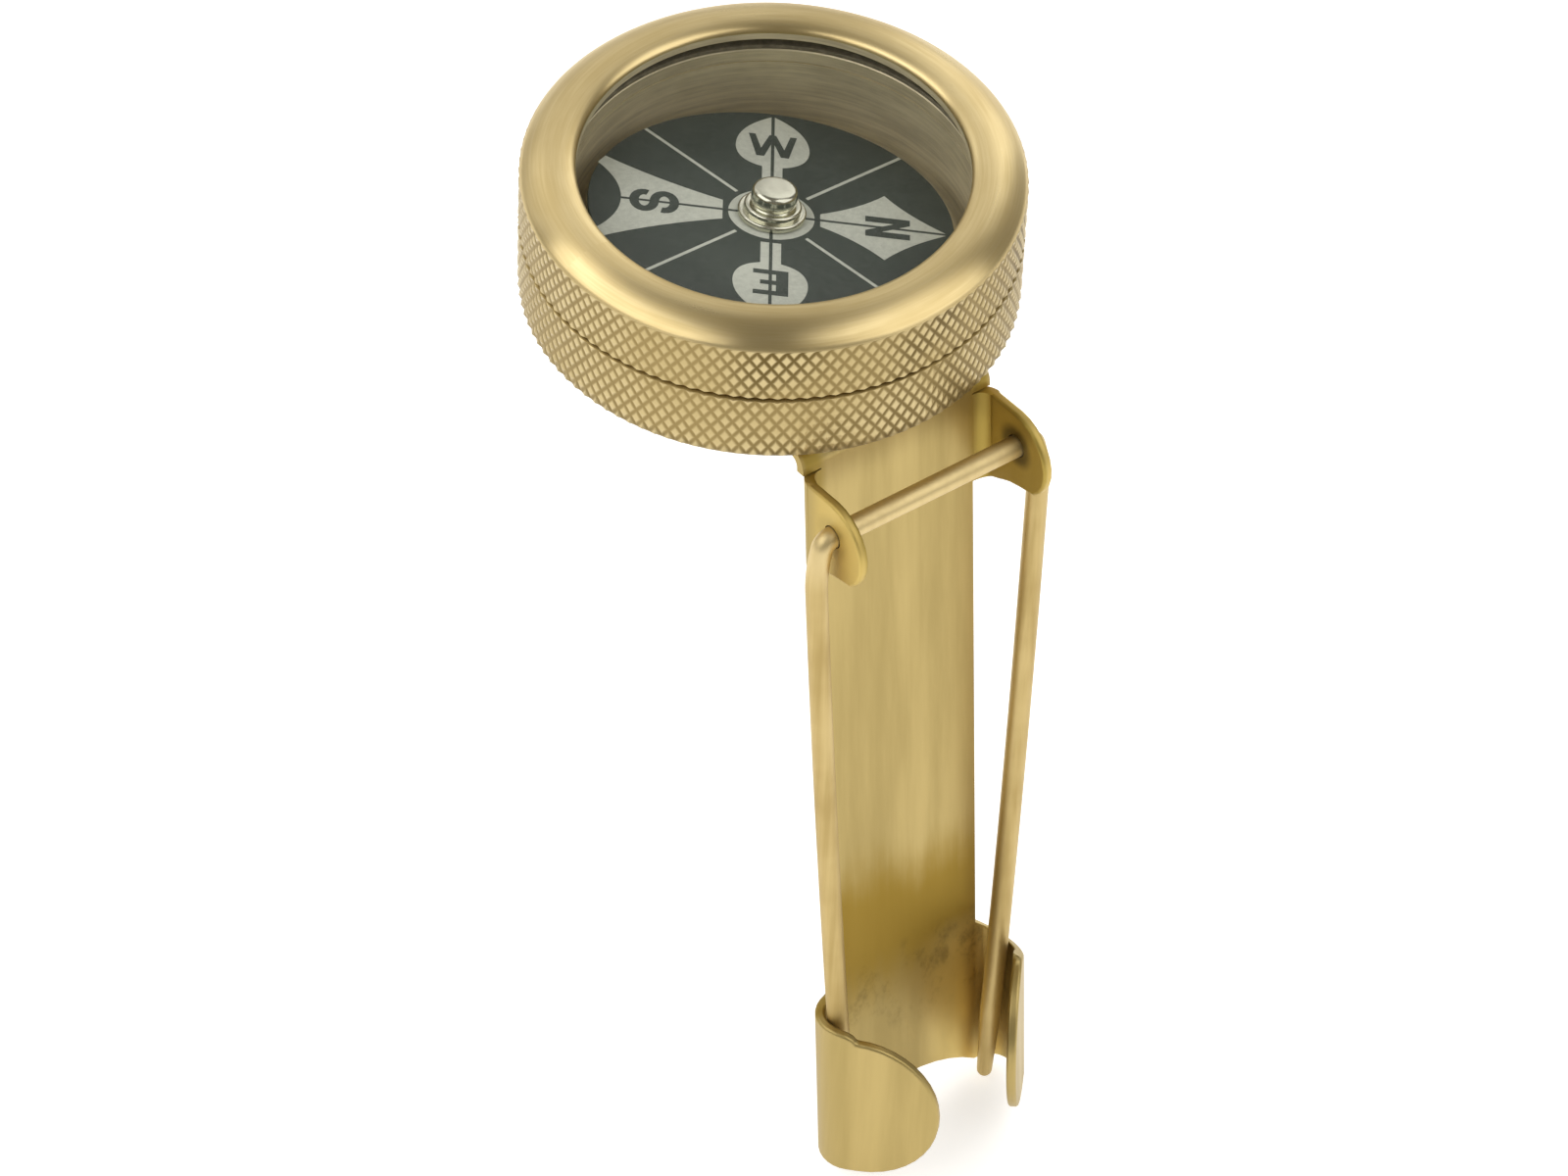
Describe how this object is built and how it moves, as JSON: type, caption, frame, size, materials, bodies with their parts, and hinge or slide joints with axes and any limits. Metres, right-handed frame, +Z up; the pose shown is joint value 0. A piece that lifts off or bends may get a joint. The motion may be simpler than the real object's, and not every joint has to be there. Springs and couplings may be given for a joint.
{
  "type": "pin-on compass",
  "caption": "Round knurled brass compass with a floating card under glass, on a bent strap with a hinged two-legged pin and rolled hooks that fasten it to a garment.",
  "frame": {"origin": "middle of the strap's front face, 24 mm below the pin's hinge axis, where the garment is gripped", "axes": "+Z up along the axis of the round case, -Y to the front where the pin is, +X to the right seen from the front"},
  "size_m": [0.03, 0.0399, 0.0678],
  "materials": {
    "brass_turned": "turned and knurled, satin",
    "brass_sheet": "brushed sheet, slightly worn",
    "brass_wire": "drawn wire, satin",
    "brass_dull": "dull, unpolished",
    "crystal_glass": "clear, polished",
    "jewel_glass": "polished",
    "card_paint": "matt printed",
    "nickel": "polished nickel plate",
    "steel": "ground",
    "gasket_rubber": "matt"
  },
  "bodies": {
    "housing": {"case_body": "brass_turned", "pivot_post": "brass_dull", "pivot_needle": "steel", "bracket": "brass_sheet", "bracket_rivet_left": "brass_wire", "bracket_rivet_right": "brass_wire"},
    "glass_unit": {"crystal": "crystal_glass", "crystal_gasket": "gasket_rubber", "retaining_ring": "brass_dull"},
    "bezel": {"bezel_ring": "brass_turned"},
    "card": {"compass_card": "card_paint", "hub_cap": "nickel", "jewel_cup": "jewel_glass", "bar_magnet": "steel"},
    "pin": {"pin": "brass_wire"}
  },
  "joints": [
    {"name": "card_spin", "type": "hinge", "parent": "housing", "child": "card", "pos_m": [0, 0.01533, 0.03397], "axis": [0.1814, 0.0785, 0.9803], "continuous": true},
    {"name": "pin_swing", "type": "hinge", "parent": "housing", "child": "pin", "pos_m": [0, -0.00095, 0.02418], "axis": [-1, 0, 0], "range_deg": [0, 180]},
    {"name": "bezel_lift", "type": "slide", "parent": "housing", "child": "glass_unit", "axis": [0, 0, 1], "range_m": [0, 0.0015]},
    {"name": "bezel_turn", "type": "hinge", "parent": "glass_unit", "child": "bezel", "pos_m": [0, 0.01533, 0.034], "axis": [0, 0, 1], "range_deg": [0, 720]}
  ],
  "couplings": [
    {"joint": "bezel_lift", "follows": "bezel_turn", "m_per_rad": 0.00011936}
  ]
}
